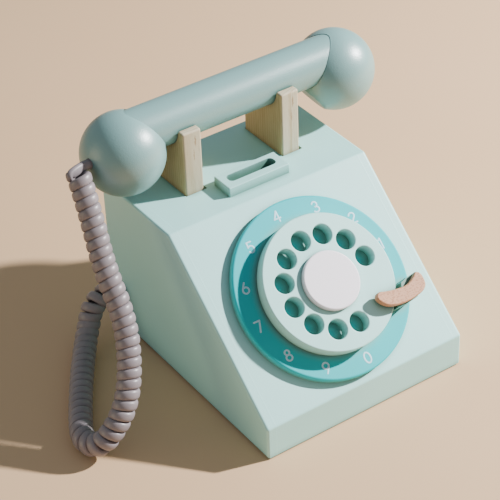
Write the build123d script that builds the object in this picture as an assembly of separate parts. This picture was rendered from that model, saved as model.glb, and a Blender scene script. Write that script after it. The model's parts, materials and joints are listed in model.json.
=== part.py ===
from build123d import *
import os
from math import cos, pi, radians, sin, tan

os.makedirs("parts", exist_ok=True)

# Wooden toy telephone, millimetres, +Z up, origin at the centre of the base board's underside.
# It faces -Y. Left is -X, as seen by someone who dials.

OVERCUT = 1.0                # how far a cut runs past the face that it opens
FIT_GAP = 0.05               # radial gap round fixed pins and screws

# ---- body shell
BODY_WIDTH = 140.0
BODY_DEPTH = 165.0
BODY_HEIGHT = 103.0
LIP_HEIGHT = 22.1            # top of the short upright lip in front of the slope
SLOPE_ANGLE = 41.1
SIDE_THICKNESS = 6.0
WALL_THICKNESS = 7.0         # lip, dial, top and back boards
CREASE_RADIUS = 1.8
EDGE_RADIUS = 1.6
BASE_REVEAL = 1.0            # the base board stands this far below the walls
BASE_THICKNESS = 6.0
BASE_GAP = 0.1

# ---- base fixings
CORNER_BLOCK = (14.0, 14.0, 12.0)
SCREW_RADIUS = 1.6
SCREW_HEAD_RADIUS = 3.5
SCREW_HEAD_HEIGHT = 2.4
SCREW_LENGTH = 15.0
SCREW_RECESS = 0.3
SCREW_SLOT = (4.4, 0.8, 0.9)

# ---- cradle posts
POST_WIDTH = 12.5
POST_DEPTH = 39.2
POST_TOP = 145.0
POST_SPACING = 68.6          # between the two posts' middles
POST_Y = 55.4
SADDLE_RADIUS = 15.0
SADDLE_ABOVE_POST = 0.9      # the saddle's axis stands this far above the post tops
POST_EDGE_RADIUS = 1.2
MORTISE_GAP = 0.2
MORTISE_SIDE_GAP = 1.9       # the loose side of each mortise
LEDGE_SIZE = (98.0, 41.0, 6.0)
POST_DOWEL_RADIUS = 3.0
POST_DOWEL_LENGTH = 22.0

# ---- card holder
CARD_BLOCK = (42.6, 16.2, 6.3)
CARD_BLOCK_Y = 27.4
CARD_SLOT = (33.2, 7.1)
CARD_SLOT_Y = 28.0
CARD_SLOT_RADIUS = 2.8
CARD_GROOVE_DEPTH = 4.6      # how far the slot goes on down into the top board
SMALL_EDGE = 0.6

# ---- dial, measured up the slope from the lip and out from the slope
DIAL_UP_SLOPE = 59.7
DISC_RADIUS = 55.3
DISC_THICKNESS = 5.4
DISC_EDGE_RADIUS = 1.3
FLANGE_RADIUS = 10.0
WHEEL_RADIUS = 41.3
WHEEL_BOTTOM = 7.0
WHEEL_TOP = 16.0
WHEEL_EDGE_RADIUS = 0.7
WHEEL_TO_FLANGE = 0.15
FINGER_HOLES = 10
FINGER_HOLE_RADIUS = 6.0
FINGER_CIRCLE_RADIUS = 28.2
FINGER_PITCH = 30.0
FIRST_HOLE_ANGLE = 10.0
CAP_RADIUS = 17.6
CAP_THICKNESS = 3.4
CAP_EDGE_RADIUS = 0.9

# ---- dial spindle
JOURNAL_RADIUS = 4.0
RUNNING_GAP = 0.05
COUNTERBORE_RADIUS = 7.5
COUNTERBORE_FLOOR = 11.4
HEAD_GAP = 0.3
TAIL_RADIUS = 3.0
TAIL_END = -17.0
KEEPER_HEAD_RADIUS = 6.2
KEEPER_HEAD_HEIGHT = 2.6
KEEPER_SHANK_RADIUS = 1.6
KEEPER_SHANK_LENGTH = 9.0
KEEPER_SLOT = (9.0, 1.0, 1.0)
WASHER_RADIUS = 8.0
WASHER_THICKNESS = 1.2
NUT_ACROSS_FLATS = 10.0
NUT_HEIGHT = 5.0

# ---- finger stop, outline in the dial's own (across, up-slope) coordinates
STOP_OUTLINE = [
    (48.0, -16.6), (44.6, -19.1), (40.5, -20.7), (36.1, -20.9), (31.7, -20.4), (24.1, -18.7),
    (20.2, -18.3), (18.6, -20.4), (19.8, -23.8), (22.9, -26.9), (27.0, -28.6), (31.9, -29.5),
    (37.4, -29.7), (43.3, -29.1), (48.0, -27.9), (51.1, -25.3), (51.8, -21.5), (50.7, -17.4),
]
STOP_BOTTOM = 18.7
STOP_TOP = 22.9
STOP_EDGE_RADIUS = 0.8
STOP_BLOCK_OUTLINE = [
    (38.0, -18.6), (44.2, -16.8), (50.6, -16.0), (53.5, -18.5), (53.5, -24.5), (48.4, -28.5),
    (43.5, -29.8), (37.5, -30.4), (31.0, -30.2),
]
STOP_BLOCK_INNER_RADIUS = 43.4
STOP_BLOCK_OUTER_RADIUS = 53.8
STOP_POCKET_GAP = 0.15
STOP_DOWELS = [(47.0, -20.6), (45.6, -25.4)]
STOP_DOWEL_RADIUS = 1.5
STOP_DOWEL_SPAN = (6.0, 21.0)

# ---- handset
HANDSET_X = 6.0              # it lies a little to the right of the body's middle
BALL_SPACING = 150.0
BALL_RADIUS = 25.0
HANDLE_RADIUS = 14.0
HANDLE_ABOVE_BALLS = 10.4    # the handle enters each ball above its centre
HANDLE_STOP_SHORT = 3.0      # the handle ends this far before a ball's centre
REST_GAP = 0.1
MOUTH_GAP = 0.3              # a narrow seam all round, where the handle goes into a ball
MOUTH_DEPTH = 1.6
EAR_FLAT_ANGLE = 37.0        # the listening and speaking flats look inwards and this far down
EAR_FLAT_DISTANCE = 22.1
BALL_DOWEL_RADIUS = 4.0
BALL_DOWEL_LENGTH = 24.0

# ---- curly cord
COIL_OUTER_RADIUS = 7.1
WIRE_RADIUS = 3.0
WIRE_HOLE_GAP = 0.2
WIRE_IN_BALL = 8.0
WIRE_WAY = (-0.972, -0.150, 0.180)   # from the left ball's centre out through the wire's hole
WIRE_TO_COIL = 0.2
BODY_HOLE = (69.0, 30.0)     # y and z of the cord's hole in the left side
WIRE_INSIDE_BODY = 16.0
WIRE_OUTSIDE_BODY = 1.0
COLLAR_RADIUS = 5.5
COLLAR_LENGTH = 8.0
ARC_SHARE = 0.45             # how much of the shorter run each arc of the route uses up
CORD_ROUTE = [
    (-102.6, 50.0, 142.6), (-104.0, 35.3, 119.6), (-108.0, 18.3, 93.2), (-108.1, -1.3, 67.4),
    (-116.3, -16.4, 45.4), (-126.2, -24.9, 29.0), (-137.1, -26.3, 16.6), (-144.1, -24.2, 9.9),
    (-147.6, -16.5, 7.3), (-146.7, -7.4, 7.3), (-138.4, 7.8, 7.3), (-121.0, 35.7, 7.3),
    (-99.0, 66.5, 8.6), (-87.5, 71.5, 32.0), (-71.6, 69.0, 30.0),
]

half_width = BODY_WIDTH / 2
half_depth = BODY_DEPTH / 2
slope = radians(SLOPE_ANGLE)
slope_top_y = -half_depth + (BODY_HEIGHT - LIP_HEIGHT) / tan(slope)
inner_half_width = half_width - SIDE_THICKNESS
inner_half_depth = half_depth - WALL_THICKNESS
top_underside = BODY_HEIGHT - WALL_THICKNESS

dial_plane = Plane(
    origin=(0, -half_depth + DIAL_UP_SLOPE * cos(slope), LIP_HEIGHT + DIAL_UP_SLOPE * sin(slope)),
    x_dir=(1, 0, 0),
    z_dir=(0, -sin(slope), cos(slope)),
)
dial = dial_plane.location

saddle_z = POST_TOP + SADDLE_ABOVE_POST
handle_z = saddle_z - SADDLE_RADIUS + REST_GAP + HANDLE_RADIUS
ball_z = handle_z - HANDLE_ABOVE_BALLS
ball_xs = (HANDSET_X - BALL_SPACING / 2, HANDSET_X + BALL_SPACING / 2)


def box_between(low, high):
    """A box given by two opposite corners."""
    size = [b - a for a, b in zip(low, high)]
    return Pos(*low) * Box(*size, align=(Align.MIN, Align.MIN, Align.MIN))


def standing_box(size):
    """A box centred on the local Z axis and standing on the local XY plane."""
    return Box(*size, align=(Align.CENTER, Align.CENTER, Align.MIN))


def rod(radius, start, end):
    """A cylinder along the local Z axis from start to end."""
    cylinder = Cylinder(radius, end - start, align=(Align.CENTER, Align.CENTER, Align.MIN))
    return Pos(0, 0, start) * cylinder


def rod_along_x(radius, x_start, x_end, y, z):
    return Pos(x_start, y, z) * Rot(0, 90, 0) * rod(radius, 0, x_end - x_start)


def side_profile(points):
    """A flat YZ outline, given as (y, z) points."""
    return make_face(Polyline(*[(0, y, z) for y, z in points], close=True))


def extrude_across(face, x_start, x_end):
    return Pos(x_start, 0, 0) * extrude(face, x_end - x_start, dir=(1, 0, 0))


def save(shape, name, solids=1):
    shape.label = name
    found = shape.solids()
    assert len(found) == solids, (name, len(found))
    assert all(s.is_valid for s in found), name
    export_step(shape, f"parts/{name}.step")
    box = shape.bounding_box()
    print(f"{name:22s} solids {len(found)}  volume {sum(s.volume for s in found):10.1f}"
          f"  {tuple(round(v, 1) for v in box.min)} {tuple(round(v, 1) for v in box.max)}")


# ---------------------------------------------------------------- body shell
outer_points = [
    (-half_depth, BASE_REVEAL), (-half_depth, LIP_HEIGHT), (slope_top_y, BODY_HEIGHT),
    (half_depth, BODY_HEIGHT), (half_depth, BASE_REVEAL),
]
wall_over_slope = WALL_THICKNESS / cos(slope) - WALL_THICKNESS * tan(slope)
lip_inner_z = LIP_HEIGHT - wall_over_slope
slope_inner_y = slope_top_y + WALL_THICKNESS * (1 / sin(slope) - 1 / tan(slope))
inner_points = [
    (-inner_half_depth, BASE_REVEAL), (-inner_half_depth, lip_inner_z), (slope_inner_y, top_underside),
    (inner_half_depth, top_underside), (inner_half_depth, BASE_REVEAL),
]
outer_face = side_profile(outer_points)
creases = outer_face.vertices().filter_by(lambda v: v.Z > BASE_REVEAL + EDGE_RADIUS)
outer_face = fillet(creases, CREASE_RADIUS)


def wall(index):
    """The shell board between outer corner index and the next, mitred at both ends."""
    quad = [outer_points[index], outer_points[index + 1], inner_points[index + 1], inner_points[index]]
    board = extrude_across(side_profile(quad), -inner_half_width, inner_half_width)
    return board & extrude_across(outer_face, -inner_half_width, inner_half_width)


def side_panel(outward):
    """One side board, its outside edges rounded. outward is -1 for left and 1 for right."""
    inside, outside = outward * inner_half_width, outward * half_width
    board = extrude_across(outer_face, min(inside, outside), max(inside, outside))
    rim = board.faces().sort_by(Axis.X)[0 if outward < 0 else -1].edges()
    return fillet(rim, EDGE_RADIUS)


body_hole = rod_along_x(
    WIRE_RADIUS + WIRE_HOLE_GAP, -half_width - OVERCUT, -inner_half_width + OVERCUT, *BODY_HOLE)
save(side_panel(-1) - body_hole, "side_panel_left")
save(side_panel(1), "side_panel_right")
save(wall(0), "front_lip")
save(wall(1) - dial * rod(TAIL_RADIUS + FIT_GAP, -2 * WALL_THICKNESS, OVERCUT), "dial_panel")
save(wall(3), "back_panel")

post_xs = (-POST_SPACING / 2, POST_SPACING / 2)
top_panel = wall(2)
for x in post_xs:
    left_x = x - POST_WIDTH / 2 - MORTISE_GAP
    right_x = x + POST_WIDTH / 2 + MORTISE_SIDE_GAP
    half_y = POST_DEPTH / 2 + MORTISE_GAP
    top_panel -= box_between(
        (left_x, POST_Y - half_y, top_underside - OVERCUT), (right_x, POST_Y + half_y, BODY_HEIGHT + OVERCUT))
slot_floor = Pos(0, CARD_SLOT_Y, BODY_HEIGHT - CARD_GROOVE_DEPTH)
slot_outline = slot_floor * RectangleRounded(*CARD_SLOT, CARD_SLOT_RADIUS)
card_slot = extrude(slot_outline, CARD_GROOVE_DEPTH + CARD_BLOCK[2] + OVERCUT)
save(top_panel - card_slot, "top_panel")

# ---------------------------------------------------------------- base and its fixings
base = box_between(
    (-inner_half_width + BASE_GAP, -inner_half_depth + BASE_GAP, 0),
    (inner_half_width - BASE_GAP, inner_half_depth - BASE_GAP, BASE_THICKNESS),
)
block_x = inner_half_width - CORNER_BLOCK[0] / 2
block_y = inner_half_depth - CORNER_BLOCK[1] / 2
corners = [(sx * block_x, sy * block_y) for sx in (-1, 1) for sy in (-1, 1)]


def screw_shape(grow):
    """A countersunk wood screw pointing up from the underside, grown all round by grow."""
    head = Cone(SCREW_HEAD_RADIUS + grow, SCREW_RADIUS + grow, SCREW_HEAD_HEIGHT,
                align=(Align.CENTER, Align.CENTER, Align.MIN))
    shank = rod(SCREW_RADIUS + grow, 0, SCREW_LENGTH + grow)
    return Pos(0, 0, SCREW_RECESS) * (head + shank)


def screw_hole(x, y):
    mouth = rod(SCREW_HEAD_RADIUS + FIT_GAP, -OVERCUT, SCREW_RECESS)
    return Pos(x, y, 0) * (screw_shape(FIT_GAP) + mouth)


holes = [screw_hole(x, y) for x, y in corners]
blocks = []
for (x, y), hole in zip(corners, holes):
    base -= hole
    block = Pos(x, y, BASE_THICKNESS) * standing_box(CORNER_BLOCK)
    blocks.append(block - hole)
screw = screw_shape(0) - Pos(0, 0, SCREW_RECESS) * standing_box(SCREW_SLOT)
save(base, "base_panel")
save(Compound(children=blocks), "corner_blocks", 4)
save(Compound(children=[Pos(x, y, 0) * screw for x, y in corners]), "base_screws", 4)

# ---------------------------------------------------------------- cradle
post_y_span = (POST_Y - POST_DEPTH / 2, POST_Y + POST_DEPTH / 2)
saddle_y_span = (POST_Y - SADDLE_RADIUS, POST_Y + SADDLE_RADIUS)
ledge_underside = top_underside - LEDGE_SIZE[2]
ledge = box_between(
    (-LEDGE_SIZE[0] / 2, inner_half_depth - LEDGE_SIZE[1], ledge_underside),
    (LEDGE_SIZE[0] / 2, inner_half_depth, top_underside),
)


def post_dowel(x, grow):
    return Pos(x, POST_Y, 0) * rod(
        POST_DOWEL_RADIUS + grow, ledge_underside - grow, ledge_underside + POST_DOWEL_LENGTH + grow)


def cradle_post(x):
    """One post: a block with a U saddle across the top for the handle."""
    low = (x - POST_WIDTH / 2, post_y_span[0], top_underside)
    high = (x + POST_WIDTH / 2, post_y_span[1], POST_TOP)
    post = box_between(low, high)
    post -= rod_along_x(SADDLE_RADIUS, low[0] - OVERCUT, high[0] + OVERCUT, POST_Y, saddle_z)
    horns = post.faces().filter_by(Axis.Z).sort_by(Axis.Z)[-2:]
    rim = [edge for face in horns for edge in face.edges()
           if edge not in post.edges().filter_by_position(Axis.Y, *saddle_y_span)]
    post = fillet(list(post.edges().filter_by(Axis.Z)) + rim, POST_EDGE_RADIUS)
    return post - post_dowel(x, FIT_GAP)


for x, side in zip(post_xs, ("left", "right")):
    ledge -= post_dowel(x, FIT_GAP)
    save(cradle_post(x), f"cradle_post_{side}")
save(ledge, "post_ledge")
save(Compound(children=[post_dowel(x, 0) for x in post_xs]), "post_dowels", 2)

# ---------------------------------------------------------------- card holder
card_block = Pos(0, CARD_BLOCK_Y, BODY_HEIGHT) * standing_box(CARD_BLOCK)
card_rim = card_block.faces().sort_by(Axis.Z)[-1].edges()
card_uprights = card_block.edges().filter_by(Axis.Z)
save(fillet(list(card_rim) + list(card_uprights), SMALL_EDGE) - card_slot, "card_slot_block")

# ---------------------------------------------------------------- dial, fixed pieces
def stop_block_shape(grow, bottom, top):
    """The block under the finger stop: a straight-sided outline cut by two circles round the dial's centre."""
    outline = make_face(Polyline(*STOP_BLOCK_OUTLINE, close=True))
    if grow:
        outline = offset(outline, grow, kind=Kind.INTERSECTION)
    block = Pos(0, 0, bottom) * extrude(outline, top - bottom)
    block &= rod(STOP_BLOCK_OUTER_RADIUS + grow, bottom, top)
    return block - rod(STOP_BLOCK_INNER_RADIUS - grow, bottom - OVERCUT, top + OVERCUT)


disc = rod(DISC_RADIUS, 0, DISC_THICKNESS)
disc_edge = disc.edges().filter_by(GeomType.CIRCLE).sort_by(Axis.Z)[-1:]
disc = fillet(disc_edge, DISC_EDGE_RADIUS)
disc -= rod(TAIL_RADIUS + FIT_GAP, -OVERCUT, DISC_THICKNESS + OVERCUT)
disc -= stop_block_shape(STOP_POCKET_GAP, -OVERCUT, DISC_THICKNESS + OVERCUT)
save(dial * disc, "number_disc")


def stop_dowel(u, v, grow):
    start, end = STOP_DOWEL_SPAN
    return Pos(u, v, 0) * rod(STOP_DOWEL_RADIUS + grow, start - grow, end + grow)


stop_block = stop_block_shape(0, 0, STOP_BOTTOM)
stop_outline = make_face(Spline(*STOP_OUTLINE, periodic=True))
finger_stop = Pos(0, 0, STOP_BOTTOM) * extrude(stop_outline, STOP_TOP - STOP_BOTTOM)
stop_rims = finger_stop.faces().filter_by(Axis.Z)
finger_stop = fillet([e for face in stop_rims for e in face.edges()], STOP_EDGE_RADIUS)
for u, v in STOP_DOWELS:
    stop_block -= stop_dowel(u, v, FIT_GAP)
    finger_stop -= stop_dowel(u, v, FIT_GAP)
save(dial * stop_block, "stop_block")
save(dial * finger_stop, "finger_stop")
save(Compound(children=[dial * stop_dowel(u, v, 0) for u, v in STOP_DOWELS]), "stop_dowels", 2)

# ---------------------------------------------------------------- dial spindle
flange_top = WHEEL_BOTTOM - WHEEL_TO_FLANGE
journal_end = COUNTERBORE_FLOOR + HEAD_GAP
keeper_hole = rod(
    KEEPER_SHANK_RADIUS + FIT_GAP, journal_end - KEEPER_SHANK_LENGTH - OVERCUT, journal_end + OVERCUT)
spindle = rod(FLANGE_RADIUS, DISC_THICKNESS, flange_top)
spindle += rod(JOURNAL_RADIUS, flange_top - FIT_GAP, journal_end)
spindle += rod(TAIL_RADIUS, TAIL_END, DISC_THICKNESS + FIT_GAP)
save(dial * (spindle - keeper_hole), "dial_spindle")

keeper = rod(KEEPER_HEAD_RADIUS, journal_end, journal_end + KEEPER_HEAD_HEIGHT)
keeper = chamfer(keeper.edges().filter_by(GeomType.CIRCLE).sort_by(Axis.Z)[-1:], SMALL_EDGE)
keeper += rod(KEEPER_SHANK_RADIUS, journal_end - KEEPER_SHANK_LENGTH, journal_end + SMALL_EDGE)
keeper -= Pos(0, 0, journal_end + KEEPER_HEAD_HEIGHT) * Box(*KEEPER_SLOT)
save(dial * keeper, "spindle_keeper_screw")

nut_top = -WALL_THICKNESS - WASHER_THICKNESS
washer = rod(WASHER_RADIUS, nut_top, -WALL_THICKNESS) - rod(TAIL_RADIUS + FIT_GAP, TAIL_END, 0)
hexagon = RegularPolygon(NUT_ACROSS_FLATS / 2, 6, major_radius=False)
nut = Pos(0, 0, nut_top - NUT_HEIGHT) * extrude(hexagon, NUT_HEIGHT)
save(dial * washer, "spindle_washer")
save(dial * (nut - rod(TAIL_RADIUS + FIT_GAP, TAIL_END, 0)), "spindle_nut")

# ---------------------------------------------------------------- dial, turning pieces
wheel = rod(WHEEL_RADIUS, WHEEL_BOTTOM, WHEEL_TOP)
for index in range(FINGER_HOLES):
    angle = radians(FIRST_HOLE_ANGLE + index * FINGER_PITCH)
    place = Pos(FINGER_CIRCLE_RADIUS * cos(angle), FINGER_CIRCLE_RADIUS * sin(angle), 0)
    wheel -= place * rod(FINGER_HOLE_RADIUS, WHEEL_BOTTOM - OVERCUT, WHEEL_TOP + OVERCUT)
wheel = fillet(wheel.edges().filter_by(GeomType.CIRCLE), WHEEL_EDGE_RADIUS)
wheel -= rod(JOURNAL_RADIUS + RUNNING_GAP, WHEEL_BOTTOM - OVERCUT, WHEEL_TOP + OVERCUT)
wheel -= rod(COUNTERBORE_RADIUS, COUNTERBORE_FLOOR, WHEEL_TOP + OVERCUT)
save(dial * wheel, "finger_wheel")

cap = rod(CAP_RADIUS, WHEEL_TOP, WHEEL_TOP + CAP_THICKNESS)
cap = fillet(cap.edges().filter_by(GeomType.CIRCLE).sort_by(Axis.Z)[-1:], CAP_EDGE_RADIUS)
save(dial * cap, "dial_cap")

# ---------------------------------------------------------------- handset
handle_ends = (ball_xs[0] + HANDLE_STOP_SHORT, ball_xs[1] - HANDLE_STOP_SHORT)
handle = rod_along_x(HANDLE_RADIUS, *handle_ends, POST_Y, handle_z)


def ball_dowel(end_x, grow):
    half = BALL_DOWEL_LENGTH / 2 + grow
    return rod_along_x(BALL_DOWEL_RADIUS + grow, end_x - half, end_x + half, POST_Y, handle_z)


def handset_ball(x, outward):
    """A ball bored off-centre for the handle, with a flat where one would listen or speak."""
    centre = Pos(x, POST_Y, ball_z)
    seam_below = Plane(origin=(x, POST_Y, ball_z), x_dir=(0, 0, -1), z_dir=(0, 1, 0))
    ball = seam_below.location * Sphere(BALL_RADIUS)
    inner_x = x - outward * 2 * BALL_RADIUS
    end_x = x - outward * HANDLE_STOP_SHORT
    span = (min(inner_x, end_x), max(inner_x, end_x), POST_Y, handle_z)
    ball -= rod_along_x(HANDLE_RADIUS, *span)
    ball -= rod_along_x(HANDLE_RADIUS + MOUTH_GAP, *span) - centre * Sphere(BALL_RADIUS - MOUTH_DEPTH)
    cutter = Pos(EAR_FLAT_DISTANCE, 0, 0) * Box(
        BALL_RADIUS, 2 * BALL_RADIUS, 2 * BALL_RADIUS, align=(Align.MIN, Align.CENTER, Align.CENTER))
    facing = EAR_FLAT_ANGLE if outward < 0 else 180 - EAR_FLAT_ANGLE
    return ball - centre * Rot(0, facing, 0) * cutter


def wire_in_ball(radius, sticks_out):
    """A rod on the line that the wire takes into the left ball, from inside it to just outside."""
    way_out = Plane(origin=(ball_xs[0], POST_Y, ball_z), z_dir=WIRE_WAY)
    rod = Cylinder(radius, WIRE_IN_BALL + sticks_out, align=(Align.CENTER, Align.CENTER, Align.MIN))
    return way_out.location * Pos(0, 0, BALL_RADIUS - WIRE_IN_BALL) * rod


for x, outward, side in zip(ball_xs, (-1, 1), ("left", "right")):
    end_x = x - outward * HANDLE_STOP_SHORT
    handle -= ball_dowel(end_x, FIT_GAP)
    ball = handset_ball(x, outward) - ball_dowel(end_x, FIT_GAP)
    if outward < 0:
        ball -= wire_in_ball(WIRE_RADIUS + WIRE_HOLE_GAP, OVERCUT)
    save(ball, f"handset_ball_{side}")
save(handle, "handset_handle")
dowels = [ball_dowel(end_x, 0) for end_x in handle_ends]
save(Compound(children=dowels), "handset_dowels", 2)

# ---------------------------------------------------------------- curly cord
save(wire_in_ball(WIRE_RADIUS, WIRE_TO_COIL), "cord_end_handset")
wire_in_body = rod_along_x(
    WIRE_RADIUS, -half_width - WIRE_OUTSIDE_BODY, -half_width + WIRE_INSIDE_BODY, *BODY_HOLE)
save(wire_in_body, "cord_end_body")
collar = rod_along_x(COLLAR_RADIUS, -inner_half_width, -inner_half_width + COLLAR_LENGTH, *BODY_HOLE)
collar -= rod_along_x(WIRE_RADIUS + FIT_GAP, -half_width, half_width, *BODY_HOLE)
save(collar, "cord_collar")


def bend_radius(before, corner, after):
    """The radius of the arc that rounds one corner of the route."""
    run_in, run_out = Vector(corner) - Vector(before), Vector(after) - Vector(corner)
    turn = radians(run_in.get_angle(run_out))
    return ARC_SHARE * min(run_in.length, run_out.length) / tan(turn / 2)


radii = [bend_radius(*CORD_ROUTE[i - 1:i + 2]) for i in range(1, len(CORD_ROUTE) - 1)]
route = FilletPolyline(*CORD_ROUTE, radius=radii)
profile = Plane(origin=route @ 0, z_dir=route % 0) * Circle(COIL_OUTER_RADIUS)
cord = sweep(profile, path=route)
save(cord, "curly_cord")
volume_by_length = route.length * pi * COIL_OUTER_RADIUS**2
print(f"cord centreline {route.length:.1f}, volume by length {volume_by_length:.1f}")
print("cord bend radii", [round(radius, 1) for radius in radii])
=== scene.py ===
import json
import math

import bmesh
import bpy
from mathutils import Matrix, Vector
from mathutils.geometry import interpolate_bezier


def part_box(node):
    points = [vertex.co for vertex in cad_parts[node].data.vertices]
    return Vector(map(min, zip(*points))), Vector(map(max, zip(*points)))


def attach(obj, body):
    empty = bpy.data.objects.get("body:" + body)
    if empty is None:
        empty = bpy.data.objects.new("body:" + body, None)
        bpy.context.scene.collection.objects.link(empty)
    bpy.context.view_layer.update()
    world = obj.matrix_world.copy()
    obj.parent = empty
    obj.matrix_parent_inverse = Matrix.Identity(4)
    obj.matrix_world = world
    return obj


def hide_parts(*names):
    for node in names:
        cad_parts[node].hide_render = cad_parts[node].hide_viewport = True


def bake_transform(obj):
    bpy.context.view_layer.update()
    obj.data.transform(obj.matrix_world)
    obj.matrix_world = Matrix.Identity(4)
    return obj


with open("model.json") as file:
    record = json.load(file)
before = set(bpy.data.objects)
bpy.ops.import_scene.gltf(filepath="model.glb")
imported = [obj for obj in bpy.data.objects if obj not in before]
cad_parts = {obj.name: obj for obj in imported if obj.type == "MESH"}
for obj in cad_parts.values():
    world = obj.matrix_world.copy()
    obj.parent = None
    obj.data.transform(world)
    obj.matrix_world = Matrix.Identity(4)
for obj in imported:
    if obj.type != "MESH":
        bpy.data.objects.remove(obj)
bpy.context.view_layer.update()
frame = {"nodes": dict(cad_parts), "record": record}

# Looks for a wooden play telephone. Lengths named with MM are in millimetres, all others in metres.
MM = 0.001
nodes = frame["nodes"]
joints = {joint["name"]: joint for joint in frame["record"]["behaviour"]["joints"]}

# ---- the dial's own directions: out of the slope, to the right, and up the slope
dial_centre = Vector(joints["finger wheel spin"]["pos_m"])
dial_out = Vector(joints["finger wheel spin"]["axis"]).normalized()
dial_right = Vector((1, 0, 0))
dial_up = dial_out.cross(dial_right)


# ================================================================ node helper
EDGE_SAMPLES = 6
COSINE_ON_FLAT, COSINE_ON_EDGE = 0.995, 0.90     # between the surface and its bevelled self
CREVICE_SAMPLES = 8
OPEN_SHARE, CREVICE_SHARE = 0.92, 0.35           # of the half sphere over a point that is open


class Paint:
    """One procedural material, built node by node, on coordinates in the row frame in millimetres."""

    def __init__(self, name):
        self.material = bpy.data.materials.new(name)
        self.material.use_nodes = True
        self.tree = self.material.node_tree
        self.shader = self.tree.nodes["Principled BSDF"]
        coordinates = self.tree.nodes.new("ShaderNodeTexCoord")
        self.place = self.mapped(coordinates.outputs["Object"], scale=(1 / MM,) * 3)

    def link(self, value, socket):
        """Feed a socket from another socket, or set it to a number, colour or vector."""
        if isinstance(value, bpy.types.NodeSocket):
            self.tree.links.new(value, socket)
        else:
            socket.default_value = value

    def mapped(self, vector, location=(0, 0, 0), rotation=(0, 0, 0), scale=(1, 1, 1)):
        """The vector scaled, then turned by degrees about X, Y and Z, then moved."""
        node = self.tree.nodes.new("ShaderNodeMapping")
        self.link(vector, node.inputs["Vector"])
        self.link(location, node.inputs["Location"])
        self.link([math.radians(angle) for angle in rotation], node.inputs["Rotation"])
        self.link(scale, node.inputs["Scale"])
        return node.outputs["Vector"]

    def noise(self, vector, per_mm, detail=3.0, roughness=0.5):
        node = self.tree.nodes.new("ShaderNodeTexNoise")
        self.link(vector, node.inputs["Vector"])
        self.link(per_mm, node.inputs["Scale"])
        self.link(detail, node.inputs["Detail"])
        self.link(roughness, node.inputs["Roughness"])
        return node.outputs["Fac"]

    def rings(self, vector, spacing_mm, distortion, detail_scale=1.0):
        """Growth rings round the vector's Z axis, from 0 to 1 and back once in every spacing."""
        node = self.tree.nodes.new("ShaderNodeTexWave")
        node.wave_type = "RINGS"
        node.rings_direction = "Z"
        node.wave_profile = "SAW"
        self.link(vector, node.inputs["Vector"])
        self.link(2 * math.pi / (20 * spacing_mm), node.inputs["Scale"])
        self.link(distortion, node.inputs["Distortion"])
        self.link(3.0, node.inputs["Detail"])
        self.link(detail_scale, node.inputs["Detail Scale"])
        return node.outputs["Fac"]

    def math(self, operation, a, b=0.0, clamp=False):
        node = self.tree.nodes.new("ShaderNodeMath")
        node.operation = operation
        node.use_clamp = clamp
        self.link(a, node.inputs[0])
        self.link(b, node.inputs[1])
        return node.outputs[0]

    def remap(self, value, low, high, to_low=0.0, to_high=1.0):
        """A smooth step: to_low at or under low, to_high at or over high."""
        node = self.tree.nodes.new("ShaderNodeMapRange")
        node.interpolation_type = "SMOOTHSTEP"
        limits = {"From Min": low, "From Max": high, "To Min": to_low, "To Max": to_high}
        for name, number in limits.items():
            self.link(number, node.inputs[name])
        self.link(value, node.inputs["Value"])
        return node.outputs["Result"]

    def mix(self, share, a, b, how="MIX"):
        node = self.tree.nodes.new("ShaderNodeMix")
        node.data_type = "RGBA"
        node.blend_type = how
        self.link(share, node.inputs["Factor"])
        self.link(a, node.inputs["A"])
        self.link(b, node.inputs["B"])
        return node.outputs["Result"]

    def axis(self, vector, name):
        node = self.tree.nodes.new("ShaderNodeSeparateXYZ")
        self.link(vector, node.inputs[0])
        return node.outputs[name]

    def bump(self, height, depth_mm, under=None):
        node = self.tree.nodes.new("ShaderNodeBump")
        self.link(height, node.inputs["Height"])
        self.link(1.0, node.inputs["Strength"])
        self.link(depth_mm * MM, node.inputs["Distance"])
        if under is not None:
            self.link(under, node.inputs["Normal"])
        return node.outputs["Normal"]

    def dot(self, a, b):
        node = self.tree.nodes.new("ShaderNodeVectorMath")
        node.operation = "DOT_PRODUCT"
        self.link(a, node.inputs[0])
        self.link(b, node.inputs[1])
        return node.outputs["Value"]

    def facing(self):
        """The way that the face looks, in the row frame."""
        return self.tree.nodes.new("ShaderNodeTexCoord").outputs["Normal"]

    def edge_mask(self, radius_mm):
        """1 on an edge and 0 on a flat, from how far a small bevel would turn the surface. It masks the
        painted highlight on painted edges and the paler edges of bare wood.
        """
        bevel = self.tree.nodes.new("ShaderNodeBevel")
        bevel.samples = EDGE_SAMPLES
        self.link(radius_mm * MM, bevel.inputs["Radius"])
        surface = self.tree.nodes.new("ShaderNodeNewGeometry")
        turned = self.dot(bevel.outputs["Normal"], surface.outputs["Normal"])
        return self.remap(turned, COSINE_ON_FLAT, COSINE_ON_EDGE)

    def crevice(self, reach_mm):
        """0 out in the open, up to 1 down in a hole, a slot or a corner: the mask of painted shade."""
        node = self.tree.nodes.new("ShaderNodeAmbientOcclusion")
        node.samples = CREVICE_SAMPLES
        self.link(reach_mm * MM, node.inputs["Distance"])
        return self.remap(node.outputs["AO"], OPEN_SHARE, CREVICE_SHARE)

    def finish(self, colour, roughness, normal=None, specular=0.5, **more):
        self.link(colour, self.shader.inputs["Base Color"])
        self.link(roughness, self.shader.inputs["Roughness"])
        self.link(specular, self.shader.inputs["Specular IOR Level"])
        if normal is not None:
            self.link(normal, self.shader.inputs["Normal"])
        for name, value in more.items():
            self.link(value, self.shader.inputs[name.replace("_", " ").title()])
        return self.material


def shade(colour, factor):
    """A colour made lighter or darker, with full alpha."""
    return tuple(min(1.0, part * factor) for part in colour[:3]) + (1.0,)


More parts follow.
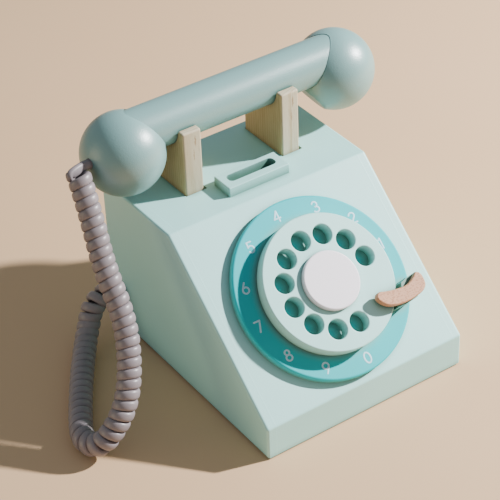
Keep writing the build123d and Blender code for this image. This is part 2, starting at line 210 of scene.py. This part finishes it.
# ================================================================ materials
MINT = (0.440, 0.800, 0.770, 1)
HANDSET_MINT = (0.212, 0.378, 0.372, 1)
# Painted shade: the block under the stop is given a darker green than the mint body.
SHADED_BLOCK_GREEN = (0.17, 0.34, 0.27, 1)
TURQUOISE = (0.004, 0.510, 0.560, 1)
CAP_WHITE = (0.960, 0.890, 0.960, 1)
SHADE_GREEN = (0.085, 0.200, 0.150, 1)            # painted shade on mint paint in holes and corners
SHADE_TEAL = (0.240, 0.420, 0.345, 1)             # painted shade on turquoise paint there
BEECH = (0.660, 0.345, 0.200, 1)
BEECH_FLECK = (0.420, 0.170, 0.080, 1)
POST_PALE = (0.600, 0.530, 0.390, 1)
POST_DARK = (0.360, 0.240, 0.100, 1)
POST_SIDE_TONE = (0.93, 0.78, 0.55, 1)
GRAIN_MARK = (0.30, 0.17, 0.07, 1)
PALE_EDGE_WOOD = (0.72, 0.50, 0.36, 1)
BASE_PALE, BASE_DARK = (0.62, 0.47, 0.30, 1), (0.46, 0.31, 0.17, 1)
INNER_PALE, INNER_DARK = (0.66, 0.50, 0.31, 1), (0.50, 0.34, 0.18, 1)
DOWEL_PALE, DOWEL_DARK = (0.70, 0.54, 0.36, 1), (0.55, 0.39, 0.24, 1)
ZINC_DULL, ZINC_BRIGHT = (0.50, 0.51, 0.53, 1), (0.66, 0.67, 0.69, 1)
TAUPE = (0.255, 0.215, 0.228, 1)
RUBBER_BLACK, RUBBER_WORN = (0.030, 0.030, 0.032, 1), (0.055, 0.055, 0.058, 1)
INK_THICK, INK_THIN = (0.56, 0.82, 0.95, 1), (0.34, 0.64, 0.80, 1)

BLOTCHES_PER_MM = 0.018                          # scales of the noise in paint
SPECKLES_PER_MM = 1.4
SKIN_PER_MM = 1.5
# Painted highlight on the edges of paint: how far in from the edge it reaches, and how strong it is.
PAINT_EDGE_MM, PAINT_EDGE_SHARE = 0.9, 0.45
# Board seams: half width, ridge height, and the share of the painted highlight on the ridge.
SEAM_HALF_WIDTH_MM, SEAM_DEPTH_MM, SEAM_HIGHLIGHT_SHARE = 0.55, 0.02, 0.15
# Bare wood is paler towards its edges: how far in, and how much.
WOOD_EDGE_MM, WOOD_EDGE_SHARE = 0.8, 0.30
# Painted shade in the corners of bare wood: how near a wall has to be, and how dark it gets.
WOOD_CREVICE_MM, WOOD_CREVICE_SHARE = 5.0, 0.45


def painted_wood(name, colour, roughness=0.42, seams=(), edge=1.10, deep=SHADE_GREEN, shade_share=0.62,
                 reach_mm=7.0, skin_mm=0.012, gloss=0.5):
    """Satin paint sprayed on smooth wood: faint blotches, an orange-peel skin, a painted highlight on
    edges, painted shade in holes and corners.

    seams are distances from the middle, in millimetres, where a joint between boards shows through as a
    ridge with a painted highlight. edge is how much lighter the painted highlight makes the colour on an
    edge. deep is the colour of the painted shade in holes and corners: shade_share is how far the colour
    goes to it, and reach_mm how near a wall has to be."""
    paint = Paint(name)
    broad = paint.noise(paint.place, BLOTCHES_PER_MM, 2.0)
    fine = paint.noise(paint.place, SPECKLES_PER_MM, 3.0)
    colour_here = paint.mix(paint.remap(broad, 0.35, 0.65), shade(colour, 0.975), shade(colour, 1.02))
    colour_here = paint.mix(paint.remap(fine, 0.3, 0.7, 0.0, 0.25), colour_here, shade(colour, 1.035))
    # Painted highlight: the colour is lighter on edges, where rounded paint catches the light.
    lighter_edge = paint.math("MULTIPLY", paint.edge_mask(PAINT_EDGE_MM), PAINT_EDGE_SHARE)
    colour_here = paint.mix(lighter_edge, colour_here, shade(colour, edge))
    # Painted shade: the colour goes towards deep in holes, slots and corners, where shade falls.
    hole_shade = paint.math("MULTIPLY", paint.crevice(reach_mm), shade_share)
    colour_here = paint.mix(hole_shade, colour_here, deep)
    normal = paint.bump(paint.noise(paint.place, SKIN_PER_MM, 2.0), skin_mm)
    for seam in seams:
        across = paint.math("ABSOLUTE", paint.axis(paint.place, "X"))
        off = paint.math("ABSOLUTE", paint.math("SUBTRACT", across, seam))
        ridge = paint.remap(off, 0.0, SEAM_HALF_WIDTH_MM, 1.0, 0.0)
        normal = paint.bump(ridge, SEAM_DEPTH_MM, normal)
        # Painted highlight along the seam's ridge; the ridge itself is the bump above.
        share = paint.math("MULTIPLY", ridge, SEAM_HIGHLIGHT_SHARE)
        colour_here = paint.mix(share, colour_here, shade(colour, 1.06))
    rough_here = paint.remap(fine, 0.2, 0.8, roughness - 0.04, roughness + 0.05)
    return paint.finish(colour_here, rough_here, normal, gloss)


def grain_mark(wood, place, half_size):
    """How strongly one soft-edged, slightly bent mark shows. place and half_size are in millimetres."""
    wander = wood.tree.nodes.new("ShaderNodeTexNoise")
    wood.link(wood.mapped(wood.place, scale=(0.25, 0.25, 0.25)), wander.inputs["Vector"])
    bent = wood.mapped(wander.outputs["Color"], location=(-1.1, -1.1, 0), scale=(2.2, 2.2, 0.0))
    inverse = tuple(1 / side for side in half_size)
    offset = tuple(-where * side for where, side in zip(place, inverse))
    straight = wood.mapped(wood.place, location=offset, scale=inverse)
    spot = wood.tree.nodes.new("ShaderNodeTexGradient")
    spot.gradient_type = "SPHERICAL"
    wood.link(wood.mix(1.0, straight, bent, "ADD"), spot.inputs["Vector"])
    return wood.remap(spot.outputs["Fac"], 0.10, 0.60, 0.0, 0.75)


def bare_wood(name, pale, dark, pith, along=(0, 0, 0), spacing=2.1, streak=0.55, roughness=0.62,
              side_tone=None, marks=()):
    """Sanded bare wood. The grain runs along Z after the turn by along, in degrees, and its rings are
    spacing millimetres apart round pith.

    side_tone multiplies the faces towards +X and -X, where the board is cut along its grain.
    marks are thin dark grain marks, each a place and a half size in millimetres."""
    wood = Paint(name)
    turned = wood.mapped(wood.place, rotation=along)
    grain = wood.mapped(turned, location=(-pith[0], -pith[1], 0), scale=(1, 1, 0.05))
    rings = wood.rings(grain, spacing, 5.0, 0.35)
    late_wood = wood.remap(rings, 0.55, 0.98)
    fibre = wood.noise(wood.mapped(turned, scale=(2.6, 2.6, 0.12)), 1.0, 4.0, 0.6)
    pores = wood.remap(wood.noise(wood.mapped(turned, scale=(3.2, 3.2, 0.10)), 1.0, 2.0), 0.58, 0.70)
    broad = wood.noise(wood.mapped(turned, scale=(0.16, 0.16, 0.02)), 1.0, 2.0)
    colour = wood.mix(wood.math("MULTIPLY", late_wood, streak), pale, dark)
    colour = wood.mix(wood.remap(fibre, 0.3, 0.75, 0.0, 0.30), colour, shade(dark, 1.05))
    colour = wood.mix(wood.math("MULTIPLY", pores, 0.45), colour, shade(dark, 0.75))
    colour = wood.mix(wood.remap(broad, 0.35, 0.65, 0.0, 0.30), colour, shade(pale, 1.08))
    if side_tone is not None:
        sideways = wood.remap(wood.math("ABSOLUTE", wood.axis(wood.facing(), "X")), 0.5, 0.9)
        colour = wood.mix(sideways, colour, wood.mix(1.0, colour, side_tone, "MULTIPLY"))
    for place, half_size in marks:
        colour = wood.mix(grain_mark(wood, place, half_size), colour, GRAIN_MARK)
    # The wood is made paler towards its edges.
    lighter_edge = wood.math("MULTIPLY", wood.edge_mask(WOOD_EDGE_MM), WOOD_EDGE_SHARE)
    colour = wood.mix(lighter_edge, colour, PALE_EDGE_WOOD)
    # Painted shade: the wood darkens in corners and creases, where shade falls.
    corner_shade = wood.math("MULTIPLY", wood.crevice(WOOD_CREVICE_MM), WOOD_CREVICE_SHARE)
    colour = wood.mix(corner_shade, colour, shade(dark, 0.35))
    hollows = wood.math("MULTIPLY", late_wood, -0.15)
    height = wood.math("ADD", wood.math("MULTIPLY", fibre, 0.7), hollows)
    rough_here = wood.remap(fibre, 0.2, 0.8, roughness - 0.05, roughness + 0.08)
    return wood.finish(colour, rough_here, wood.bump(height, 0.025), 0.35)


def flecked_beech(name):
    """Beech cut flat, pinkish, with the short darker flecks of its rays, and painted shade on its sides.
    """
    wood = Paint(name)
    angle = math.degrees(math.atan2(dial_up.z, dial_up.y))
    flat = wood.mapped(wood.place, rotation=(-angle, 0, 0))
    flecks = wood.remap(wood.noise(wood.mapped(flat, scale=(0.7, 1.5, 1.5)), 1.0, 2.0), 0.52, 0.60)
    fine = wood.noise(wood.mapped(flat, scale=(1.6, 4.2, 4.2)), 1.0, 4.0)
    broad = wood.noise(wood.mapped(flat, scale=(0.06, 0.2, 0.2)), 1.0, 2.0)
    colour = wood.mix(wood.remap(broad, 0.35, 0.65), BEECH, shade(BEECH, 0.93))
    colour = wood.mix(wood.remap(fine, 0.35, 0.7, 0.0, 0.35), colour, shade(BEECH, 0.84))
    colour = wood.mix(wood.math("MULTIPLY", flecks, 0.75), colour, BEECH_FLECK)
    # Painted shade: faces turned away from the dial's face are darkened.
    sides = wood.remap(wood.dot(wood.facing(), dial_out), 0.9, 0.4, 0.0, 0.55)
    colour = wood.mix(sides, colour, shade(BEECH_FLECK, 1.15))
    return wood.finish(colour, 0.55, wood.bump(fine, 0.03), 0.4)


def plated_steel(name):
    """Zinc plating: cool grey with soft cloudy spangles and fine turning marks."""
    steel = Paint(name)
    clouds = steel.noise(steel.place, 0.5, 3.0)
    marks = steel.noise(steel.mapped(steel.place, scale=(9.0, 9.0, 0.8)), 1.0, 2.0)
    colour = steel.mix(steel.remap(clouds, 0.35, 0.65), ZINC_DULL, ZINC_BRIGHT)
    rough = steel.remap(clouds, 0.3, 0.7, 0.28, 0.42)
    return steel.finish(colour, rough, steel.bump(marks, 0.01), metallic=1.0)


def cord_plastic(name, colour):
    """Satin plastic wire: slightly uneven tone and a faint extruded skin."""
    plastic = Paint(name)
    broad = plastic.noise(plastic.place, 0.10, 2.0)
    fine = plastic.noise(plastic.place, 3.0, 3.0)
    tone = plastic.mix(plastic.remap(broad, 0.3, 0.7), shade(colour, 0.93), shade(colour, 1.05))
    tone = plastic.mix(plastic.remap(fine, 0.35, 0.7, 0.0, 0.25), tone, shade(colour, 1.14))
    rough = plastic.remap(fine, 0.25, 0.75, 0.33, 0.44)
    return plastic.finish(tone, rough, plastic.bump(fine, 0.012), 0.5)


def rubber(name):
    """Black rubber, a little greyer where it is worn."""
    black = Paint(name)
    grain = black.noise(black.place, 2.5, 4.0)
    tone = black.mix(black.remap(grain, 0.3, 0.7), RUBBER_BLACK, RUBBER_WORN)
    return black.finish(tone, black.remap(grain, 0.3, 0.7, 0.6, 0.78), black.bump(grain, 0.03))


def digit_ink(name):
    """White printed ink, a little patchy so that the paint below shows through."""
    ink = Paint(name)
    patches = ink.noise(ink.place, 1.6, 4.0)
    tone = ink.mix(ink.remap(patches, 0.35, 0.7, 0.0, 0.35), INK_THICK, INK_THIN)
    return ink.finish(tone, ink.remap(patches, 0.3, 0.7, 0.45, 0.58), ink.bump(patches, 0.008))


def post_marks(node):
    """Two thin marks one above the other on a post's front face, right of its middle."""
    low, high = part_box(node)
    across = (low.x + 0.66 * (high.x - low.x)) / MM
    front, top = low.y / MM, high.z / MM
    upper = ((across, front, top - 7.0), (0.75, 3.0, 5.5))
    lower = ((across - 1.2, front, top - 16.0), (0.5, 3.0, 6.0))
    return [upper, lower]


seam_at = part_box("dial_panel")[1].x / MM
# Looks that set how far the colour goes to deep get that much painted shade in their holes, slots and
# corners.
looks = {
    "body_paint": painted_wood("mint paint on board", MINT, seams=[seam_at]),
    "card_paint": painted_wood("mint paint on small blocks", shade(MINT, 0.94),
                               shade_share=0.95, reach_mm=12.0),
    "shaded_block_paint": painted_wood("mint paint darkened as painted shade under the stop", SHADED_BLOCK_GREEN, shade_share=0.70),
    "handset_paint": painted_wood("mint paint on turned wood", HANDSET_MINT, roughness=0.35,
                                  skin_mm=0.100, gloss=1.0),
    "wheel_paint": painted_wood("mint paint on the wheel", shade(MINT, 1.02),
                                shade_share=0.95, reach_mm=9.0),
    "ring_paint": painted_wood("turquoise paint", TURQUOISE, roughness=0.58,
                               deep=SHADE_TEAL, shade_share=0.90, gloss=0.3),
    "cap_paint": painted_wood("pinkish white paint", CAP_WHITE, edge=1.04, deep=shade(CAP_WHITE, 0.5)),
    "post_plywood": bare_wood("pale post wood", POST_PALE, POST_DARK, (-20.0, 190.0),
                              side_tone=POST_SIDE_TONE,
                              marks=post_marks("cradle_post_left") + post_marks("cradle_post_right")),
    "stop_wood": flecked_beech("flecked beech"),
    "base_plywood": bare_wood("base board wood", BASE_PALE, BASE_DARK, (0.0, 300.0),
                              along=(90, 0, 0), spacing=5.5),
    "inner_wood": bare_wood("inner softwood", INNER_PALE, INNER_DARK, (60.0, 140.0),
                            along=(0, 90, 0), spacing=3.0),
    "dowel_wood": bare_wood("dowel wood", DOWEL_PALE, DOWEL_DARK, (25.0, 90.0)),
    "zinc_steel": plated_steel("zinc plated steel"),
    "cord_plastic": cord_plastic("taupe cord plastic", TAUPE),
    "collar_rubber": rubber("black rubber"),
}
# Two blocks wear a look of their own in place of their CAD material's: the card block with stronger
# painted shade in its slot, and the stop's block in a darker green that is painted shade.
OWN_LOOK = {"card_slot_block": "card_paint", "stop_block": "shaded_block_paint"}
for part in frame["record"]["subparts"]:
    look = OWN_LOOK.get(part["node"], part["material_slot"])
    mesh = nodes[part["node"]].data
    mesh.materials.clear()
    mesh.materials.append(looks[look])


# ================================================================ curly cord
CORD_ROUTE_MM = [
    (-102.6, 50.0, 142.6), (-104.0, 35.3, 119.6), (-108.0, 18.3, 93.2), (-108.1, -1.3, 67.4),
    (-116.3, -16.4, 45.4), (-126.2, -24.9, 29.0), (-137.1, -26.3, 16.6), (-144.1, -24.2, 9.9),
    (-147.6, -16.5, 7.3), (-146.7, -7.4, 7.3), (-138.4, 7.8, 7.3), (-121.0, 35.7, 7.3),
    (-99.0, 66.5, 8.6), (-87.5, 71.5, 32.0), (-71.6, 69.0, 30.0),
]
WIRE_HALF_WIDTH = 2.93 * MM      # along the coil; the wire is a flattened round, wound flat side out
WIRE_HALF_THICKNESS = 2.1 * MM
WIRE_SQUARENESS = 2.7            # 2 is an ellipse, more is nearer to a rounded rectangle
COIL_MEAN_RADIUS = 5.0 * MM
COIL_PITCH = 5.86 * MM
WIDEST_SPACING = 8.3 * MM        # of two turns at the outside of a bend
STEPS_PER_TURN = 32
WIRE_SIDES = 18
FIRST_TURN_PHASE = 215.0         # degrees round from +X at the coil's top, clockwise seen from above
FIRST_TURN_START = 5.2 * MM      # how far down the route the wound part begins
LAST_TURN_END = 9.0 * MM         # how far before the route's end it stops
ROUND_END = 7.0 * MM             # the wire is round where it goes into a hole
ROUTE_RESOLUTION = 40            # points on the route between two control points
BEND_REACH = 4                   # points each way over which a bend is measured
LEAD_POINTS = 26
LEAD_IN_REACH = (6 * MM, 5 * MM)     # how far each end of a lead keeps its direction
LEAD_OUT_REACH = (6 * MM, 6 * MM)
WIRE_EXIT_WAY = (-0.972, -0.150, 0.180)    # of the wire out of the left ball


def route_points():
    """The cord's smooth line, read from a NURBS spline with the route as its control points."""
    curve = bpy.data.curves.new("cord route", "CURVE")
    curve.dimensions = "3D"
    spline = curve.splines.new("NURBS")
    spline.points.add(len(CORD_ROUTE_MM) - 1)
    for point, place in zip(spline.points, CORD_ROUTE_MM):
        point.co = (*(part * MM for part in place), 1.0)
    spline.order_u = 3
    spline.use_endpoint_u = True
    spline.resolution_u = ROUTE_RESOLUTION
    guide = bpy.data.objects.new("cord route", curve)
    bpy.context.scene.collection.objects.link(guide)
    bpy.context.view_layer.update()
    mesh = bpy.data.meshes.new_from_object(guide.evaluated_get(bpy.context.evaluated_depsgraph_get()))
    points = [vertex.co.copy() for vertex in mesh.vertices]
    bpy.data.objects.remove(guide)
    bpy.data.meshes.remove(mesh)
    return points


def frames_along(points):
    """For each point its distance along the line, direction, and a sideways axis that doesn't twist."""
    count = len(points)
    before, after = points[:1] + points[:-1], points[1:] + points[-1:]
    tangents = [(b - a).normalized() for a, b in zip(before, after)]
    side = tangents[0].cross(Vector((0, 1, 0))).normalized()
    rows, travelled = [], 0.0
    for i in range(count):
        if i:
            travelled += (points[i] - points[i - 1]).length
            side = tangents[i - 1].rotation_difference(tangents[i]) @ side
        side = (side - side.project(tangents[i])).normalized()
        rows.append((travelled, points[i], tangents[i], side.copy()))
    return rows


def bend_at(rows, index):
    """How sharply the line turns there, in radians per metre."""
    low, high = max(index - BEND_REACH, 0), min(index + BEND_REACH, len(rows) - 1)
    return rows[low][2].angle(rows[high][2]) / (rows[high][0] - rows[low][0])


def smoothstep(value):
    """0 at or under 0, 1 at or over 1, and a smooth rise between."""
    value = min(1.0, max(0.0, value))
    return value * value * (3 - 2 * value)


def helix_points(rows):
    """The wire's line wound round the route, and at each point the way out from the coil's middle."""
    points, outwards, row = [], [], 0
    phase = math.radians(FIRST_TURN_PHASE)
    travelled, end = FIRST_TURN_START, rows[-1][0] - LAST_TURN_END
    while travelled < end:
        while rows[row + 1][0] < travelled:
            row += 1
        (s0, p0, t0, a0), (s1, p1, t1, a1) = rows[row], rows[row + 1]
        share = (travelled - s0) / (s1 - s0)
        centre, side = p0.lerp(p1, share), a0.lerp(a1, share)
        other = t0.lerp(t1, share).normalized().cross(side)
        offset = side * math.cos(phase) + other * math.sin(phase)
        points.append(centre + offset * COIL_MEAN_RADIUS)
        outwards.append(offset)
        pitch = min(COIL_PITCH, WIDEST_SPACING / (1 + bend_at(rows, row) * COIL_MEAN_RADIUS))
        phase += 2 * math.pi / STEPS_PER_TURN
        travelled += pitch / STEPS_PER_TURN
    return points, outwards


def lead(start, start_way, end, end_way, reach):
    """A smooth join from one point and direction to another, without its last point."""
    first, second = start + start_way * reach[0], end - end_way * reach[1]
    return interpolate_bezier(start, first, second, end, LEAD_POINTS)[:-1]


def wire_tube(name, path, outwards):
    """A closed tube along a path. Its flat sides face outwards and inwards, and its ends are round."""
    mesh = bmesh.new()
    rows = frames_along(path)
    whole = rows[-1][0]
    rings = []
    for (travelled, point, tangent, _), outward in zip(rows, outwards):
        out = (outward - outward.project(tangent)).normalized()
        across = tangent.cross(out)
        wound = smoothstep(min(travelled, whole - travelled) / ROUND_END)
        thickness = WIRE_HALF_WIDTH + (WIRE_HALF_THICKNESS - WIRE_HALF_WIDTH) * wound
        power = 2 / (2 + (WIRE_SQUARENESS - 2) * wound)
        ring = []
        for step in range(WIRE_SIDES):
            angle = 2 * math.pi * (step + 0.5) / WIRE_SIDES
            wide, deep = math.cos(angle), math.sin(angle)
            wide = math.copysign(abs(wide) ** power, wide) * WIRE_HALF_WIDTH
            deep = math.copysign(abs(deep) ** power, deep) * thickness
            ring.append(mesh.verts.new(point + across * wide + out * deep))
        rings.append(ring)
    for ring, after in zip(rings, rings[1:]):
        for step in range(WIRE_SIDES):
            following = (step + 1) % WIRE_SIDES
            mesh.faces.new((ring[step], ring[following], after[following], after[step]))
    mesh.faces.new(list(reversed(rings[0])))
    mesh.faces.new(rings[-1])
    for face in mesh.faces:
        face.smooth = True
    return mesh_object(name, mesh)


def mesh_object(name, mesh):
    """The bmesh as a new object in the scene, with its faces turned outwards."""
    bmesh.ops.recalc_face_normals(mesh, faces=mesh.faces)
    data = bpy.data.meshes.new(name)
    mesh.to_mesh(data)
    mesh.free()
    piece = bpy.data.objects.new(name, data)
    bpy.context.scene.collection.objects.link(piece)
    return piece


ball_low, ball_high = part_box("handset_ball_left")
ball_centre = (ball_low + ball_high) / 2
wire_way = Vector(WIRE_EXIT_WAY).normalized()
handset_hole = ball_centre + wire_way * (ball_high.y - ball_low.y) / 2
stub_low, stub_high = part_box("cord_end_body")
body_hole = (stub_low + stub_high) / 2
body_hole.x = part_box("side_panel_left")[0].x

rows = frames_along(route_points())
wound, outwards = helix_points(rows)
first_way = (wound[1] - wound[0]).normalized()
last_way = (wound[-1] - wound[-2]).normalized()
lead_in = lead(handset_hole, wire_way, wound[0], first_way, LEAD_IN_REACH)
lead_out = lead(wound[-1], last_way, body_hole, Vector((1, 0, 0)), LEAD_OUT_REACH)[1:] + [body_hole]
cord_line = lead_in + wound + lead_out
outwards = [outwards[0]] * len(lead_in) + outwards + [outwards[-1]] * len(lead_out)
curly = wire_tube("curly_wire", cord_line, outwards)
curly.data.materials.append(looks["cord_plastic"])
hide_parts("curly_cord")
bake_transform(curly)


# ================================================================ dial digits
DIGIT_HEIGHT = 6.3 * MM
DIGIT_WIDENED = 1.10
DIGIT_STROKE = 1.06 * MM
DIGIT_RAISED = 0.09 * MM
DIGIT_RING_RADIUS = 48.0 * MM
ARC_STEP = 12.0                  # degrees
STROKE_SIDES = 10
END_ANGLES = (88, 60, 30)        # degrees from the stroke's direction, of the rings of a round end


def line(*points):
    return [Vector(point) for point in points]


def arc(centre, radii, start, end):
    """Points round an ellipse from one angle to another, in degrees."""
    steps = max(3, round(abs(end - start) / ARC_STEP))
    angles = [math.radians(start + (end - start) * step / steps) for step in range(steps + 1)]
    (x, y), (half_width, half_height) = centre, radii
    return [Vector((x + half_width * math.cos(a), y + half_height * math.sin(a))) for a in angles]


# Each digit's place round the disc, in degrees from +X, and its pen strokes, drawn in a box one unit high
# with (0, 0) in its middle.
DIGITS = {
    "1": (10.3, [line((-0.16, 0.32), (0.05, 0.5)), line((0.05, 0.5), (0.05, -0.5))]),
    "2": (37.4, [arc((0, 0.24), (0.26, 0.26), 165, -35) + line((-0.27, -0.5)),
                 line((-0.27, -0.5), (0.28, -0.5))]),
    "3": (66.0, [arc((0, 0.25), (0.23, 0.25), 150, -90), arc((0, -0.245), (0.27, 0.255), 90, -150)]),
    "4": (97.2, [line((0.13, 0.5), (0.13, -0.5)), line((0.13, 0.5), (-0.30, -0.2)),
                 line((-0.30, -0.2), (0.30, -0.2))]),
    "5": (128.6, [line((0.22, 0.5), (-0.18, 0.5)), line((-0.18, 0.5), (-0.21, 0.04)),
                  arc((0, -0.18), (0.28, 0.32), 136, -145)]),
    "6": (158.6, [arc((0, -0.21), (0.28, 0.29), 0, 360), line((0.13, 0.5), (-0.24, -0.05))]),
    "7": (186.5, [line((-0.27, 0.5), (0.27, 0.5)), line((0.27, 0.5), (-0.09, -0.5))]),
    "8": (214.3, [arc((0, 0.27), (0.21, 0.23), 0, 360), arc((0, -0.23), (0.27, 0.27), 0, 360)]),
    "9": (243.0, [arc((0, 0.21), (0.28, 0.29), 0, 360), line((0.24, 0.05), (-0.13, -0.5))]),
    "0": (275.4, [arc((0, 0), (0.29, 0.5), 0, 360)]),
}


def add_stroke(mesh, points, to_frame):
    """One pen stroke as a low domed bead with round ends, standing on the disc's face."""
    half = DIGIT_STROKE / 2 / DIGIT_HEIGHT
    closed = (points[0] - points[-1]).length < half / 10
    if closed:
        points = points[:-1]
    count = len(points)
    rows = []
    for i, point in enumerate(points):
        before = points[i - 1] if closed or i else point
        after = points[(i + 1) % count] if closed or i < count - 1 else point
        rows.append((point, (after - before).normalized(), half))
    if not closed:
        (start, start_way, _), (end, end_way, _) = rows[0], rows[-1]
        turns = [math.radians(angle) for angle in END_ANGLES]
        head = [(start - start_way * half * math.sin(a), start_way, half * math.cos(a)) for a in turns]
        tail = [(end + end_way * half * math.sin(a), end_way, half * math.cos(a)) for a in turns]
        rows = head + rows + tail[::-1]
    rings = []
    for point, way, width in rows:
        across = Vector((way.y, -way.x))
        ring = []
        for step in range(STROKE_SIDES):
            angle = 2 * math.pi * step / STROKE_SIDES
            place = point + across * width * math.cos(angle)
            lift = DIGIT_RAISED * math.sin(angle) * width / half
            ring.append(mesh.verts.new(to_frame(place, lift)))
        rings.append(ring)
    afters = rings[1:] + rings[:1] if closed else rings[1:]
    for ring, after in zip(rings, afters):
        for step in range(STROKE_SIDES):
            following = (step + 1) % STROKE_SIDES
            mesh.faces.new((ring[step], ring[following], after[following], after[step]))
    if not closed:
        mesh.faces.new(rings[0])
        mesh.faces.new(list(reversed(rings[-1])))


disc_points = [vertex.co for vertex in nodes["number_disc"].data.vertices]
disc_face = max((point - dial_centre).dot(dial_out) for point in disc_points)
ink = digit_ink("white digit ink")
for digit, (degrees, strokes) in DIGITS.items():
    angle = math.radians(degrees)
    way = dial_right * math.cos(angle) + dial_up * math.sin(angle)
    middle = dial_centre + dial_out * disc_face + way * DIGIT_RING_RADIUS

    def to_frame(place, lift, middle=middle):
        """A place in the digit's box and a height over the disc, in the row frame."""
        on_disc = dial_right * place.x * DIGIT_WIDENED + dial_up * place.y
        return middle + on_disc * DIGIT_HEIGHT + dial_out * lift

    mesh = bmesh.new()
    for stroke in strokes:
        add_stroke(mesh, stroke, to_frame)
    for face in mesh.faces:
        face.smooth = True
    piece = mesh_object(f"digit_{digit}", mesh)
    piece.data.materials.append(ink)
    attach(piece, "base")


# ================================================================ stage
FLOOR_HALF = 9.0
FLOOR_TONES = (0.70, 0.450, 0.255, 1), (0.74, 0.485, 0.290, 1)
CAMERA_PLACE = Vector((-0.4969, -0.7150, 0.7136))
CAMERA_BACK = Vector((-0.4446, -0.6690, 0.5956)).normalized()
CAMERA_ROLL = -2.36              # degrees
CAMERA_LENS = 133.0              # millimetres, on a sensor 36 wide
LIT_POINT = Vector((0, 0, 0.06))
KEY_WAY = Vector((0.77, -0.30, 0.56)).normalized()
KEY_COLOUR = (0.97, 0.98, 0.97)
FILL_WAY = Vector((-0.9, 0.30, 0.10))
FILL_COLOUR = (1.0, 0.88, 0.52)
SKY_COLOUR = (0.78, 0.89, 1.0, 1)
SKY_STRENGTH = 0.35


def make_floor():
    mesh = bmesh.new()
    bmesh.ops.create_grid(mesh, x_segments=1, y_segments=1, size=FLOOR_HALF)
    floor = mesh_object("floor", mesh)
    surface = Paint("pale floor")
    cloud = surface.noise(surface.place, 0.004, 2.0)
    tone = surface.mix(cloud, *FLOOR_TONES)
    floor.data.materials.append(surface.finish(tone, 0.7, None, 0.25))


def area_light(name, way, distance, size, watts, colour):
    """A round light that stands off in one direction and shines at the object's middle."""
    light = bpy.data.lights.new(name, "AREA")
    light.shape = "DISK"
    light.size = size
    light.energy = watts
    light.color = colour
    lamp = bpy.data.objects.new(name, light)
    lamp.location = LIT_POINT + way.normalized() * distance
    lamp.rotation_mode = "QUATERNION"
    lamp.rotation_quaternion = (-way).to_track_quat("-Z", "Y")
    bpy.context.scene.collection.objects.link(lamp)


def make_camera():
    camera = bpy.data.cameras.new("camera")
    camera.lens = CAMERA_LENS
    camera.sensor_width = 36.0
    camera.clip_start, camera.clip_end = 0.05, 40.0
    viewer = bpy.data.objects.new("camera", camera)
    bpy.context.scene.collection.objects.link(viewer)
    turned = (-CAMERA_BACK).to_track_quat("-Z", "Y").to_matrix()
    roll = Matrix.Rotation(math.radians(CAMERA_ROLL), 3, CAMERA_BACK)
    viewer.rotation_mode = "QUATERNION"
    viewer.rotation_quaternion = (roll @ turned).to_quaternion()
    viewer.location = CAMERA_PLACE
    bpy.context.scene.camera = viewer


def make_sky():
    world = bpy.data.worlds.new("studio")
    bpy.context.scene.world = world
    world.use_nodes = True
    background = world.node_tree.nodes["Background"]
    background.inputs["Color"].default_value = SKY_COLOUR
    background.inputs["Strength"].default_value = SKY_STRENGTH


make_floor()
make_camera()
area_light("key", KEY_WAY, distance=1.6, size=0.07, watts=80.0, colour=KEY_COLOUR)
area_light("fill", FILL_WAY, distance=2.2, size=1.2, watts=8.5, colour=FILL_COLOUR)
make_sky()

bpy.context.view_layer.update()
